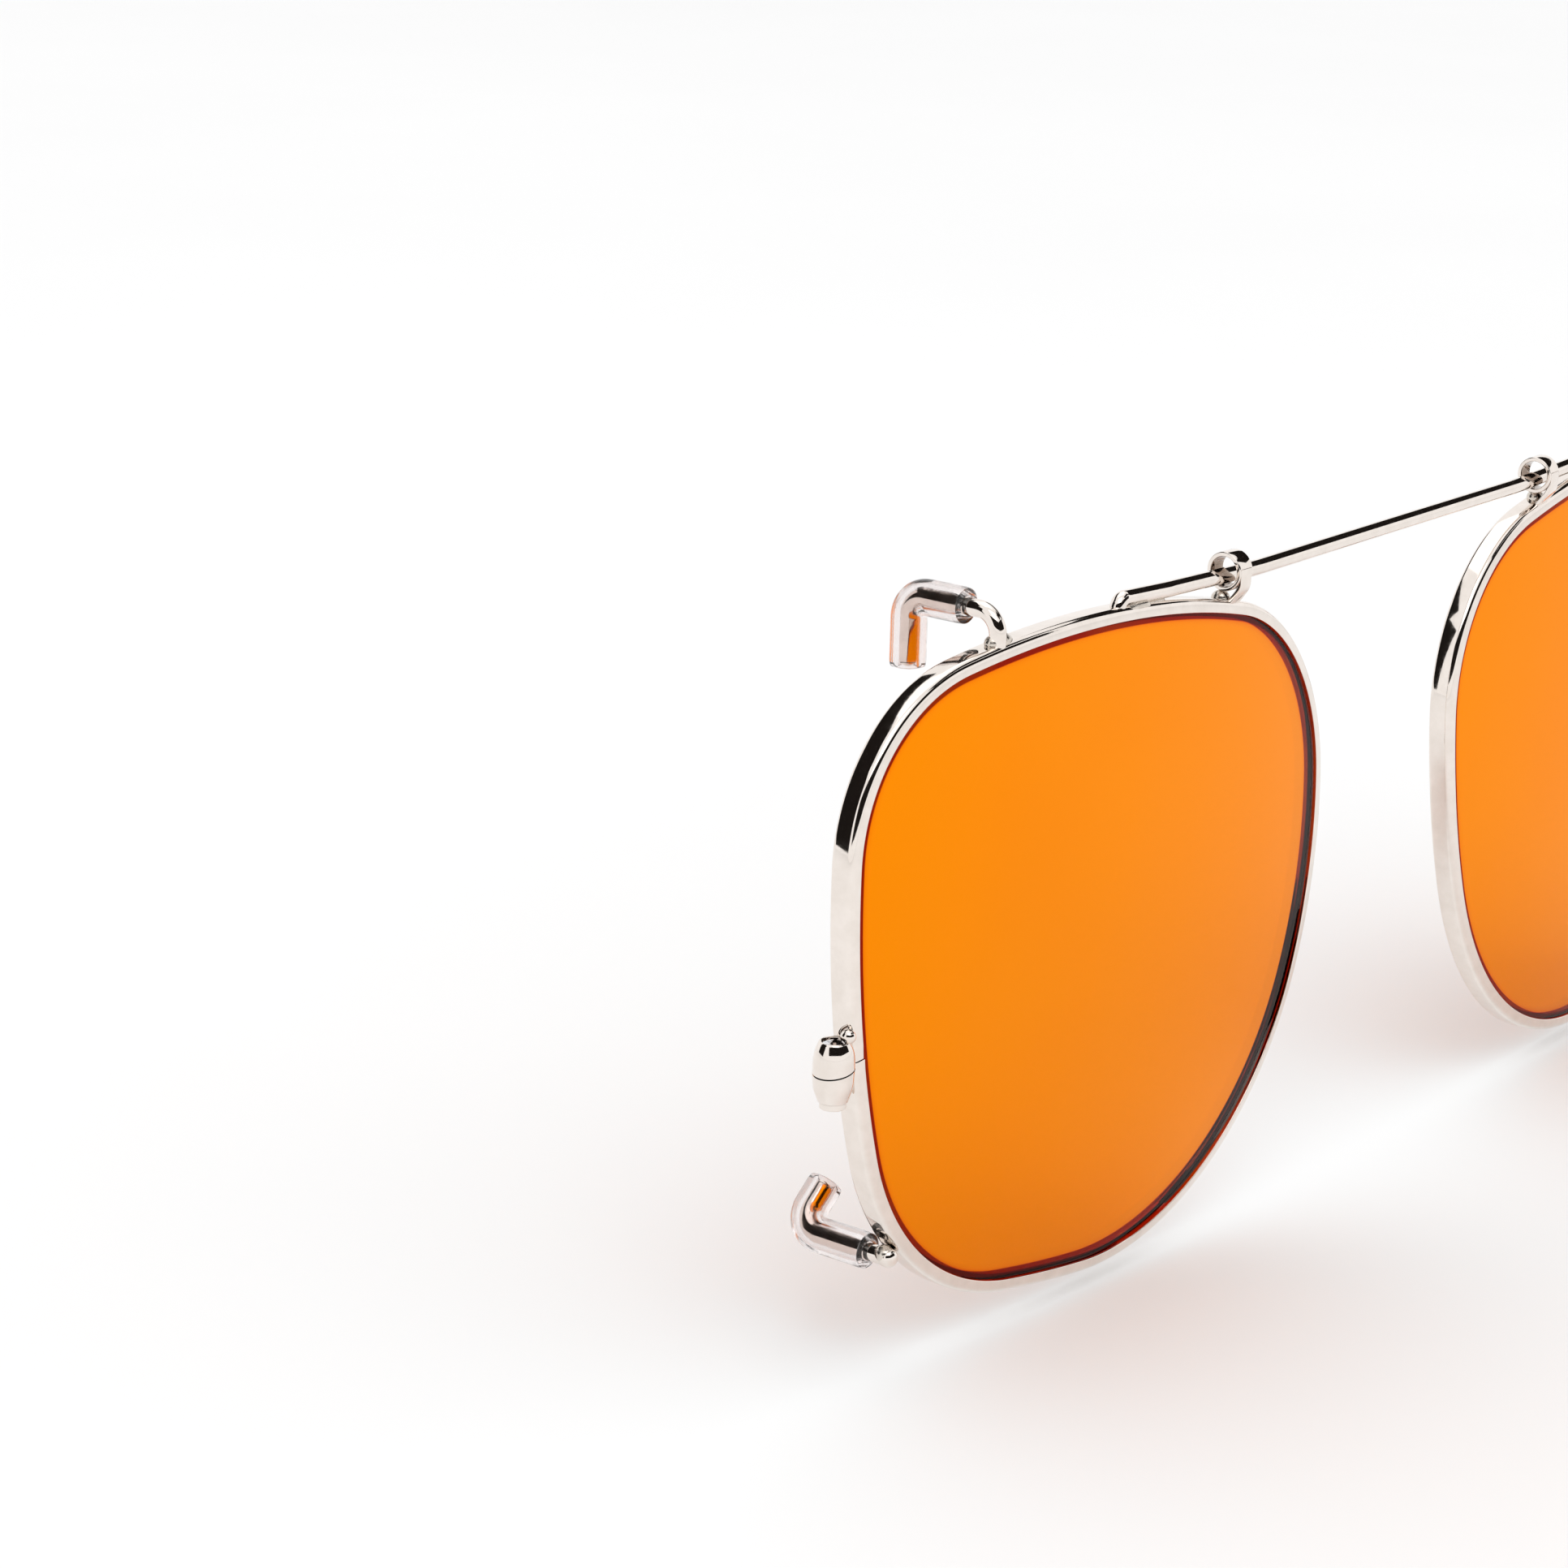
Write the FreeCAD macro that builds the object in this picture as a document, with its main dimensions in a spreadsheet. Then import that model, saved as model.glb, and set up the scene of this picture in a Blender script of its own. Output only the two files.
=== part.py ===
import FreeCAD, Part
import math
import os
import Sketcher

# A pair of tinted lenses that clips onto spectacles.  Each lens sits in a metal rim; two wire claws
# in clear sleeves reach back from each rim and hold the spectacle front; one springy round bar joins
# the rims over the nose and runs through an eyelet on each of them.
#
# Object frame, in mm: +X towards the wearer's left, +Y back towards the wearer, +Z up.  The origin is
# on the symmetry plane, level with the lens centres, in the plane where the spectacle front lies.
# "right" and "left" are the wearer's.
#
# Lens frame of the right lens: u towards the nose, w back from the lens's front vertex, v up, held as
# X, Y and Z of a local frame that is turned by the wrap angle.  Every right-hand piece is drawn there;
# its left-hand twin is a mirror image in the symmetry plane.

DIMENSIONS = [
    # Layout of the two lenses.
    ("half_spacing", 35.5),        # symmetry plane to lens centre
    ("wrap_angle", 2.53),          # turn of each lens about the vertical, in degrees
    ("seat_depth", 4.5),           # lens vertex to the spectacle front's plane
    ("base_radius", 148.7),        # front curve of rim and lens
    # Lens outline: four corner circles (centre and radius) and the four arcs that join them.
    ("top_nose_u", 11.75),
    ("top_nose_v", 6.5),
    ("top_nose_radius", 13.75),
    ("top_temple_u", -13.25),
    ("top_temple_v", 9.25),
    ("top_temple_radius", 12.0),
    ("low_temple_u", -6.75),
    ("low_temple_v", -4.0),
    ("low_temple_radius", 17.25),
    ("low_nose_u", 1.25),
    ("low_nose_v", 1.0),
    ("low_nose_radius", 23.25),
    ("top_side_radius", 75.0),
    ("temple_side_radius", 51.0),
    ("bottom_side_radius", 148.0),
    ("nose_side_radius", 39.0),
    # Rim wire and lens.
    ("rim_width", 0.9),
    ("rim_depth", 1.7),
    ("rim_round", 0.35),
    ("short_edge", 2.5),           # edges shorter than this are left sharp
    ("groove_depth", 0.35),
    ("groove_start", 0.5),         # front of the rim to the groove
    ("groove_width", 0.7),
    ("lens_recess", 0.25),         # front of the rim to the lens
    ("lens_thickness", 1.2),
    ("lens_fit", 0.02),            # gap all round the lens
    ("slab_reach", 8.0),           # how far the outline prisms run each way
    ("bounds_side", 90.0),         # side of a block round the whole lens
    # Rim lock: a barrel in two halves, split on a sloping seam that also splits the rim.
    ("lock_u", -26.9),
    ("lock_w", 2.95),
    ("lock_top", -0.3),
    ("lock_length", 3.95),
    ("lock_radius", 1.35),
    ("lock_top_radius", 1.0),
    ("lock_shoulder_radius", 1.32),  # where the barrel's rounded top ends
    ("lock_shoulder_drop", 1.0),
    ("lock_foot_radius", 0.98),
    ("lock_collar_radius", 0.86),
    ("lock_collar_height", 0.45),
    ("seam_v", -2.2),              # height of the seam on the barrel's axis
    ("seam_slope", 12.0),          # degrees, rising towards the lens
    ("seam_gap", 0.1),
    ("seam_block", 12.0),          # side of the blocks that part the barrel
    ("slit_reach", 6.0),           # length and width of the slit through the rim
    ("lock_bead_u", -26.27),       # bead of braze beside the barrel's top
    ("lock_bead_w", 2.3),
    ("lock_bead_v", -0.05),
    ("lock_bead_radius", 0.5),
    ("driver_reach", 3.0),         # clear way above the screw for a screwdriver
    # Screw of the rim lock.
    ("screw_radius", 0.5),
    ("screw_head_radius", 0.78),
    ("screw_head_depth", 0.45),
    ("screw_sink", 0.15),          # barrel's top to the screw's top
    ("screw_slot_width", 0.24),
    ("screw_slot_depth", 0.22),
    ("screw_fit", 0.03),
    # Bridge bar.
    ("bar_radius", 0.55),
    ("bar_behind_vertex", 2.15),   # lens vertex plane to the bar's axis
    ("bar_height", 22.68),
    ("bar_knee_x", 18.5),
    ("bar_knee_radius", 60.0),
    ("bar_end_height", 23.1),
    ("pivot_x", 29.35),           # hinge line of each rim, across the bar
    ("pivot_gap", 0.1),
    # Brazed foot of the bar, in the lens frame.
    ("foot_w", 2.42),
    ("foot_start_u", 5.93),
    ("foot_crown_u", 0.65),
    ("foot_crown_v", 23.32),
    ("foot_crown_radius", 0.7),
    ("foot_end_u", 0.45),
    ("foot_end_v", 22.5),
    # Pad of braze between the rim and the foot.
    ("pad_start_u", 1.1),
    ("pad_step_u", 3.4),
    ("pad_end_u", 5.7),
    ("pad_top_v", 22.98),
    ("pad_tail_v", 22.7),
    ("pad_bottom_v", 21.5),
    ("pad_front_w", 1.75),
    ("pad_width", 1.35),
    # Eyelet: a strap bent round the bar, with a post down to the rim and a bead under it.
    ("eyelet_u", 13.7),
    ("eyelet_w", 2.66),
    ("eyelet_v", 23.12),
    ("eyelet_bore_radius", 1.05),
    ("eyelet_strap", 0.3),
    ("eyelet_width", 1.5),
    ("post_width", 1.2),
    ("post_top_v", 22.2),
    ("post_foot_w", 2.3),
    ("post_foot_v", 20.4),
    ("post_thickness", 0.55),
    ("bead_u", 13.25),
    ("bead_w", 3.0),
    ("bead_v", 21.15),
    ("bead_radius", 0.66),
    # Claws: round wire, and the clear sleeves over it.
    ("wire_radius", 0.58),
    ("sleeve_radius", 1.2),
    ("sleeve_bore_radius", 0.6),
    ("sleeve_overrun", 0.5),       # sleeve past the wire's end
    ("upper_u", -11.9),
    ("upper_root_w", 2.6),
    ("upper_root_v", 21.9),
    ("upper_arch_v", 24.5),
    ("upper_bend", 1.5),
    ("upper_sleeve_w", 5.3),
    ("upper_tip_w", 9.9),
    ("upper_tip_v", 20.3),
    ("lower_u", -19.8),
    ("lower_v", -15.45),
    ("lower_tilt", 48.7),          # degrees from upright to the claw's plane
    ("lower_root_w", 2.5),
    ("lower_floor", -1.5),         # out from the lens outline to the wire, in the claw's plane
    ("lower_bend", 1.9),
    ("lower_sleeve_w", 4.5),
    ("lower_tip_w", 10.3),
    ("lower_tip", 1.6),
    ("braze_radius", 0.95),
]

CORNERS = ["top_nose", "top_temple", "low_temple", "low_nose"]
SIDES = ["top_side", "temple_side", "bottom_side", "nose_side"]
FULL_TURN = 360.0
QUARTER_TURN = 90.0

doc = FreeCAD.newDocument("ClipOnLenses")
sheet = doc.addObject("Spreadsheet::Sheet", "Dims")


def fill_sheet():
    for row, (alias, value) in enumerate(DIMENSIONS, start=1):
        sheet.set(f"A{row}", alias)
        sheet.set(f"B{row}", str(value))
        sheet.setAlias(f"B{row}", alias)
    doc.recompute()


def size(alias):
    return float(sheet.get(alias))


def value_of(expression):
    """Number that an expression of sheet aliases joined by + and - stands for."""
    total = 0.0
    for term in expression.replace("-", "+-").split("+"):
        if term:
            name = term.lstrip("-").strip()
            total += size(name) * (-1.0 if term.startswith("-") else 1.0)
    return total


def negated(expression):
    flipped = expression.translate(str.maketrans("+-", "-+"))
    return flipped if flipped.startswith(("+", "-")) else "-" + flipped


def bound(expression):
    """The same expression, with each alias written as a reference to the sheet."""
    spaced = expression.replace("+", " + ").replace("-", " - ")
    words = [word if word in "+-" else f"Dims.{word}" for word in spaced.split()]
    return " ".join(words)


def bind(obj, prop, expression):
    obj.setExpression(prop, bound(expression))


# ---------------------------------------------------------------- sketches

def new_body(name):
    return doc.addObject("PartDesign::Body", name)


def plane_of(body, role):
    for feature in body.Origin.OriginFeatures:
        if feature.Role == role:
            return feature
    raise ValueError(role)


def new_sketch(body, name, role, offset=FreeCAD.Vector()):
    sketch = body.newObject("Sketcher::SketchObject", name)
    sketch.AttachmentSupport = [(plane_of(body, role), "")]
    sketch.MapMode = "FlatFace"
    sketch.AttachmentOffset = FreeCAD.Placement(offset, FreeCAD.Rotation())
    return sketch


def constrain(sketch, expression, *terms):
    """A dimensional constraint whose value comes from the sheet."""
    index = sketch.addConstraint(Sketcher.Constraint(*terms, value_of(expression)))
    sketch.setExpression(f"Constraints[{index}]", bound(expression))


def fix_point(sketch, geometry, point, across, up):
    for kind, expression in (("DistanceX", across), ("DistanceY", up)):
        if expression:
            constrain(sketch, expression, kind, -1, 1, geometry, point)
        else:
            axis = -2 if kind == "DistanceX" else -1
            sketch.addConstraint(Sketcher.Constraint("PointOnObject", geometry, point, axis))


def corner_circle(name, grow):
    centre = FreeCAD.Vector(size(name + "_u"), size(name + "_v"), 0)
    return centre, size(name + "_radius") + grow


def side_centre(first, second, radius):
    """Centre of the arc of the given radius that two corner circles touch from inside."""
    (centre_a, radius_a), (centre_b, radius_b) = first, second
    reach_a = radius - radius_a
    reach_b = radius - radius_b
    link = centre_b - centre_a
    along = (reach_a ** 2 - reach_b ** 2 + link.Length ** 2) / (2 * link.Length)
    across = math.sqrt(reach_a ** 2 - along ** 2)
    unit = link / link.Length
    return centre_a + unit * along + FreeCAD.Vector(-unit.y, unit.x, 0) * across


def arc(centre, radius, start, end):
    circle = Part.Circle(centre, FreeCAD.Vector(0, 0, 1), radius)
    while end < start:
        end += 2 * math.pi
    return Part.ArcOfCircle(circle, start, end)


def heading(vector):
    return math.atan2(vector.y, vector.x)


def add_outline(sketch, growth=""):
    """Lens outline of eight tangent arcs, moved outwards by a length of the sheet."""
    grow = value_of(growth)
    circles = [corner_circle(name, grow) for name in CORNERS]
    radii = [size(name + "_radius") + grow for name in SIDES]
    centres = [side_centre(circles[i], circles[(i + 1) % 4], radii[i]) for i in range(4)]
    first = sketch.GeometryCount
    for i in range(4):
        centre, radius = circles[i]
        following = circles[(i + 1) % 4][0]
        enter = heading(centre - centres[i - 1])
        leave = heading(centre - centres[i])
        sketch.addGeometry(arc(centre, radius, enter, leave), False)
        sketch.addGeometry(arc(centres[i], radii[i], leave, heading(following - centres[i])), False)
    for i in range(8):
        terms = ("Tangent", first + i, 2, first + (i + 1) % 8, 1)
        sketch.addConstraint(Sketcher.Constraint(*terms))
    extra = f"+{growth}" if growth else ""
    for i, name in enumerate(CORNERS):
        constrain(sketch, name + "_radius" + extra, "Radius", first + 2 * i)
        fix_point(sketch, first + 2 * i, 3, name + "_u", name + "_v")
    for i, name in enumerate(SIDES):
        constrain(sketch, name + "_radius" + extra, "Radius", first + 2 * i + 1)


def add_route(sketch, stops, bends):
    """Straight runs from stop to stop, with a tangent arc at each inner stop."""
    points = [FreeCAD.Vector(value_of(a), value_of(b), 0) for a, b in stops]
    starts = [points[0]]
    ends = []
    arcs = []
    for i, bend in enumerate(bends, start=1):
        before = (points[i - 1] - points[i]).normalize()
        after = (points[i + 1] - points[i]).normalize()
        half = before.getAngle(after) / 2
        radius = value_of(bend)
        trim = radius / math.tan(half)
        middle = points[i] + (before + after).normalize() * (radius / math.sin(half))
        ends.append(points[i] + before * trim)
        starts.append(points[i] + after * trim)
        arcs.append((middle, radius, ends[-1], starts[-1]))
    ends.append(points[-1])
    lines = [sketch.addGeometry(Part.LineSegment(a, b), False) for a, b in zip(starts, ends)]
    for i, (middle, radius, enter, leave) in enumerate(arcs):
        turns_left = (enter - middle).cross(leave - middle).z > 0
        span = (enter, leave) if turns_left else (leave, enter)
        angles = [heading(point - middle) for point in span]
        curve = sketch.addGeometry(arc(middle, radius, *angles), False)
        enter_end, leave_end = (1, 2) if turns_left else (2, 1)
        sketch.addConstraint(Sketcher.Constraint("Tangent", lines[i], 2, curve, enter_end))
        sketch.addConstraint(Sketcher.Constraint("Tangent", curve, leave_end, lines[i + 1], 1))
        constrain(sketch, bends[i], "Radius", curve)
        corner = sketch.addGeometry(Part.Point(points[i + 1]), True)
        fix_point(sketch, corner, 1, *stops[i + 1])
        for line in (lines[i], lines[i + 1]):
            sketch.addConstraint(Sketcher.Constraint("PointOnObject", corner, 1, line))
    fix_point(sketch, lines[0], 1, *stops[0])
    fix_point(sketch, lines[-1], 2, *stops[-1])


def add_polygon(sketch, corners):
    """Closed straight-sided outline through corners that are pairs of sheet expressions."""
    points = [FreeCAD.Vector(value_of(a), value_of(b), 0) for a, b in corners]
    count = len(points)
    first = sketch.GeometryCount
    for i in range(count):
        sketch.addGeometry(Part.LineSegment(points[i], points[(i + 1) % count]), False)
    for i in range(count):
        terms = ("Coincident", first + i, 2, first + (i + 1) % count, 1)
        sketch.addConstraint(Sketcher.Constraint(*terms))
    for i, (across, up) in enumerate(corners):
        fix_point(sketch, first + i, 1, across, up)


# ---------------------------------------------------------------- solids

def outline_prism(name, growth=""):
    """Solid prism of the lens outline, long enough to pass through rim and lens."""
    body = new_body(name)
    sketch = new_sketch(body, name + "Outline", "XZ_Plane", FreeCAD.Vector(0, 0, size("slab_reach")))
    add_outline(sketch, growth)
    pad = body.newObject("PartDesign::Pad", name + "Pad")
    pad.Profile = sketch
    bind(pad, "Length", "slab_reach+slab_reach")
    pad.Reversed = True
    return body


def sphere_of(name, depth=""):
    """Ball whose surface is the front curve, moved back by a length of the sheet."""
    ball = doc.addObject("Part::Sphere", name)
    bind(ball, "Radius", "base_radius" + (negated(depth) if depth else ""))
    bind(ball, "Placement.Base.y", "base_radius")
    return ball


def combine(kind, name, base, tool):
    result = doc.addObject("Part::" + kind, name)
    result.Base = base
    result.Tool = tool
    return result


def shell_slice(name, prism, front, back):
    """The part of a prism that lies between two concentric curves."""
    inside = combine("Common", name + "Front", prism, sphere_of(name + "FrontBall", front))
    return combine("Cut", name, inside, sphere_of(name + "BackBall", back))


def pipe(name, role, stops, bends, radius, bore="", offset=FreeCAD.Vector()):
    """Round wire, or tube, along a route drawn in one of the body's planes."""
    body = new_body(name)
    spine = new_sketch(body, name + "Route", role, offset)
    add_route(spine, stops, bends)
    doc.recompute()
    section = body.newObject("Sketcher::SketchObject", name + "Section")
    section.AttachmentSupport = [(spine, "Edge1")]
    section.MapMode = "NormalToEdge"
    section.MapPathParameter = 0.0
    for circle, alias in enumerate([radius, bore] if bore else [radius]):
        centre = Part.Circle(FreeCAD.Vector(), FreeCAD.Vector(0, 0, 1), size(alias))
        section.addGeometry(centre, False)
        section.addConstraint(Sketcher.Constraint("Coincident", circle, 3, -1, 1))
        constrain(section, alias, "Radius", circle)
    sweep = body.newObject("PartDesign::AdditivePipe", name + "Sweep")
    sweep.Profile = section
    sweep.Spine = (spine, [f"Edge{i + 1}" for i in range(len(stops) + len(bends) - 1)])
    return body


def revolve(name, corners):
    """Solid of revolution about the body's upright axis; corners are (radius, height) pairs."""
    body = new_body(name)
    sketch = new_sketch(body, name + "Profile", "XZ_Plane")
    add_polygon(sketch, corners)
    turn = body.newObject("PartDesign::Revolution", name + "Turn")
    turn.Profile = sketch
    turn.ReferenceAxis = (sketch, ["V_Axis"])
    turn.Angle = FULL_TURN
    return body


def move_to(obj, u, w, v=""):
    for axis, expression in (("x", u), ("y", w), ("z", v)):
        if expression:
            bind(obj, "Placement.Base." + axis, expression)


def seam_placement(corner):
    """Placement of a block whose corner is given in the sloping seam's own frame."""
    slope = FreeCAD.Rotation(FreeCAD.Vector(0, 1, 0), -size("seam_slope"))
    middle = FreeCAD.Vector(size("lock_u"), size("lock_w"), size("seam_v"))
    return FreeCAD.Placement(middle, slope) * FreeCAD.Placement(corner, FreeCAD.Rotation())


def half_space(name, upper):
    """Large block above or below the sloping seam, half a seam gap away from it."""
    block = doc.addObject("Part::Box", name)
    for side in ("Length", "Width", "Height"):
        bind(block, side, "seam_block")
    edge = size("seam_block")
    gap = size("seam_gap") / 2
    block.Placement = seam_placement(FreeCAD.Vector(-edge / 2, -edge / 2, gap if upper else -gap - edge))
    return block


# ---------------------------------------------------------------- pieces of the right side

def make_rim(outer):
    """Closed rim wire: outline ring, rounded outside, with the lens groove and the seam's slit."""
    slab = shell_slice("RimSlab", outer, "", "rim_depth")
    doc.recompute()
    rounded = doc.addObject("Part::Fillet", "RimRounded")
    rounded.Base = slab
    radius = size("rim_round")
    least = size("short_edge")
    long_edges = [i for i, edge in enumerate(slab.Shape.Edges, start=1) if edge.Length > least]
    rounded.Edges = [(i, radius, radius) for i in long_edges]
    ring = combine("Cut", "RimRing", rounded, outline_prism("RimInside"))
    groove_prism = outline_prism("GroovePrism", "groove_depth")
    groove = shell_slice("Groove", groove_prism, "groove_start", "groove_start+groove_width")
    grooved = combine("Cut", "RimGrooved", ring, groove)
    slit = doc.addObject("Part::Box", "RimSlit")
    bind(slit, "Length", "slit_reach")
    bind(slit, "Width", "slit_reach")
    bind(slit, "Height", "seam_gap")
    slit.Placement = seam_placement(FreeCAD.Vector(0, -size("slit_reach") / 2, -size("seam_gap") / 2))
    return combine("Cut", "RimSplit", grooved, slit)


def make_lens():
    """Curved lens with a tongue round its edge that sits in the rim's groove."""
    sheet_prism = outline_prism("LensPrism", "-lens_fit")
    pane = shell_slice("LensPane", sheet_prism, "lens_recess", "lens_recess+lens_thickness")
    tongue_prism = outline_prism("TonguePrism", "groove_depth-lens_fit")
    tongue = shell_slice("LensTongue", tongue_prism, "groove_start+lens_fit",
                         "groove_start+groove_width-lens_fit")
    return combine("Fuse", "LensWhole", pane, tongue)


def make_barrel(outer):
    """Whole barrel of the rim lock, bored for its screw, with the side that meets the rim cut to it."""
    recess = "screw_head_radius+screw_fit"
    bore = "screw_radius+screw_fit"
    sink = "-screw_sink-screw_head_depth"
    profile = [
        (recess, ""),
        ("lock_top_radius", ""),
        ("lock_shoulder_radius", "-lock_shoulder_drop"),
        ("lock_radius", "seam_v-lock_top"),
        ("lock_foot_radius", "-lock_length"),
        ("lock_collar_radius", "-lock_length"),
        ("lock_collar_radius", "-lock_length-lock_collar_height"),
        (bore, "-lock_length-lock_collar_height"),
        (bore, sink),
        (recess, "-screw_sink"),
    ]
    barrel = revolve("Barrel", profile)
    move_to(barrel, "lock_u", "lock_w", "lock_top")
    return combine("Cut", "BarrelFitted", barrel, outer)


def driver_way():
    """Round way over the screw's head, which the bead leaves clear."""
    way = doc.addObject("Part::Cylinder", "DriverWay")
    bind(way, "Radius", "screw_head_radius+screw_fit")
    bind(way, "Height", "driver_reach+driver_reach")
    move_to(way, "lock_u", "lock_w", "lock_top-driver_reach")
    return way


def make_lock(outer):
    """The barrel's two halves, and the bead of braze beside its top."""
    barrel = make_barrel(outer)
    upper = combine("Common", "LockUpper", barrel, half_space("AboveSeam", True))
    lower = combine("Common", "LockLower", barrel, half_space("BelowSeam", False))
    ball = doc.addObject("Part::Sphere", "LockBeadBall")
    bind(ball, "Radius", "lock_bead_radius")
    ball.Placement.Rotation = FreeCAD.Rotation(FreeCAD.Vector(0, 1, 0), QUARTER_TURN)
    move_to(ball, "lock_bead_u", "lock_bead_w", "lock_bead_v")
    seated = combine("Cut", "LockBeadSeated", ball, outer)
    fitted = combine("Cut", "LockBeadFitted", seated, barrel)
    return upper, lower, combine("Cut", "LockBead", fitted, driver_way())


def make_screw():
    """Countersunk slotted screw of the rim lock."""
    shank_end = "-lock_length-lock_collar_height"
    profile = [
        ("", "-screw_sink"),
        ("screw_head_radius", "-screw_sink"),
        ("screw_radius", "-screw_sink-screw_head_depth"),
        ("screw_radius", shank_end),
        ("", shank_end),
    ]
    blank = revolve("ScrewBlank", profile)
    move_to(blank, "lock_u", "lock_w", "lock_top")
    slot = doc.addObject("Part::Box", "ScrewSlot")
    bind(slot, "Length", "screw_head_radius+screw_head_radius")
    bind(slot, "Width", "screw_slot_width")
    bind(slot, "Height", "screw_slot_depth+screw_sink")
    slot.setExpression("Placement.Base.x", "Dims.lock_u - Dims.screw_head_radius")
    slot.setExpression("Placement.Base.y", "Dims.lock_w - Dims.screw_slot_width / 2")
    bind(slot, "Placement.Base.z", "lock_top-screw_sink-screw_slot_depth")
    return combine("Cut", "Screw", blank, slot)


def make_foot(outer):
    """End of the bar's wire, brazed along the top of the rim and bent down at its tip."""
    stops = [
        ("foot_start_u", "bar_end_height"),
        ("foot_crown_u", "foot_crown_v"),
        ("foot_end_u", "foot_end_v"),
    ]
    offset = FreeCAD.Vector(0, 0, -size("foot_w"))
    wire = pipe("FootWire", "XZ_Plane", stops, ["foot_crown_radius"], "bar_radius", "", offset)
    return combine("Cut", "Foot", wire, outer)


def make_pad(outer, foot):
    """Braze between the rim and the foot: a thick pad with a thin tail towards the nose."""
    body = new_body("PadBlock")
    sketch = new_sketch(body, "PadSide", "XZ_Plane", FreeCAD.Vector(0, 0, -size("pad_front_w")))
    add_polygon(sketch, [
        ("pad_start_u", "pad_bottom_v"),
        ("pad_end_u", "pad_bottom_v"),
        ("pad_end_u", "pad_tail_v"),
        ("pad_step_u", "pad_top_v"),
        ("pad_start_u", "pad_top_v"),
    ])
    pad = body.newObject("PartDesign::Pad", "PadSolid")
    pad.Profile = sketch
    bind(pad, "Length", "pad_width")
    pad.Reversed = True
    seated = combine("Cut", "PadSeated", body, outer)
    return combine("Cut", "Pad", seated, foot)


def strap_pad(body, sketch, width):
    pad = body.newObject("PartDesign::Pad", sketch.Name + "Pad")
    pad.Profile = sketch
    bind(pad, "Length", width)
    pad.Midplane = True
    return pad


def make_eyelet(outer):
    """Strap bent into a ring round the bar, with a narrower post down to the rim."""
    body = new_body("EyeletStrap")
    ring = new_sketch(body, "EyeletRing", "YZ_Plane")
    for index, radius in enumerate(["eyelet_bore_radius+eyelet_strap", "eyelet_bore_radius"]):
        centre = FreeCAD.Vector(size("eyelet_w"), size("eyelet_v"), 0)
        ring.addGeometry(Part.Circle(centre, FreeCAD.Vector(0, 0, 1), value_of(radius)), False)
        fix_point(ring, index, 3, "eyelet_w", "eyelet_v")
        constrain(ring, radius, "Radius", index)
    strap_pad(body, ring, "eyelet_width")
    post = new_sketch(body, "EyeletPost", "YZ_Plane")
    front = "eyelet_w-eyelet_bore_radius-eyelet_strap"
    back = "eyelet_w-eyelet_bore_radius"
    add_polygon(post, [
        ("post_foot_w", "post_foot_v"),
        ("post_foot_w+post_thickness", "post_foot_v"),
        (back, "post_top_v"),
        (back, "eyelet_v"),
        (front, "eyelet_v"),
        (front, "post_top_v"),
    ])
    strap_pad(body, post, "post_width")
    bind(body, "Placement.Base.x", "eyelet_u")
    return combine("Cut", "Eyelet", body, outer)


def make_bead(outer, eyelet):
    ball = doc.addObject("Part::Sphere", "BeadBall")
    bind(ball, "Radius", "bead_radius")
    move_to(ball, "bead_u", "bead_w", "bead_v")
    seated = combine("Cut", "BeadSeated", ball, outer)
    return combine("Cut", "Bead", seated, eyelet)


def upper_claw_plane():
    return FreeCAD.Placement(FreeCAD.Vector(size("upper_u"), 0, 0), FreeCAD.Rotation())


def lower_claw_plane():
    tilt = FreeCAD.Rotation(FreeCAD.Vector(0, 1, 0), size("lower_tilt"))
    return FreeCAD.Placement(FreeCAD.Vector(size("lower_u"), 0, size("lower_v")), tilt)


def make_claw(name, plane, stops, bends, outer):
    """Claw wire, cut to the rim where it is brazed on."""
    wire = pipe(name + "Wire", "YZ_Plane", stops, bends, "wire_radius")
    wire.Placement = plane
    return combine("Cut", name, wire, outer)


def make_sleeve(name, plane, stops, bends):
    tube = pipe(name, "YZ_Plane", stops, bends, "sleeve_radius", "sleeve_bore_radius")
    tube.Placement = plane
    return combine("Common", name + "Whole", tube, tube_bounds(name))


def tube_bounds(name):
    """Block round the whole lens: a sleeve's common part with it is the sleeve, in the lens frame."""
    block = doc.addObject("Part::Box", name + "Bounds")
    for side in ("Length", "Width", "Height"):
        bind(block, side, "bounds_side")
    block.Placement.Base = FreeCAD.Vector(-1, -1, -1) * (size("bounds_side") / 2)
    return block


def make_braze(name, plane, point, outer, claw):
    """Bead of braze at the root of a claw."""
    ball = doc.addObject("Part::Sphere", name + "Ball")
    bind(ball, "Radius", "braze_radius")
    ball.Placement = plane * FreeCAD.Placement(point, FreeCAD.Rotation())
    seated = combine("Cut", name + "Seated", ball, outer)
    return combine("Cut", name, seated, claw)


def make_bar():
    """Bridge bar between the two pivots: one half along its route, and its mirror image."""
    offset = FreeCAD.Vector(0, 0, -size("bar_behind_vertex") + size("seat_depth"))
    stops = [
        ("", "bar_height"),
        ("bar_knee_x", "bar_height"),
        ("pivot_x-pivot_gap", "bar_end_height"),
    ]
    body = pipe("BridgeBar", "XZ_Plane", stops, ["bar_knee_radius"], "bar_radius", "", offset)
    doc.recompute()
    half = body.Tip
    mirrored = body.newObject("PartDesign::Mirrored", "BarMirrored")
    mirrored.Originals = [half]
    mirrored.MirrorPlane = (plane_of(body, "YZ_Plane"), [""])
    body.Tip = mirrored
    return body


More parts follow.
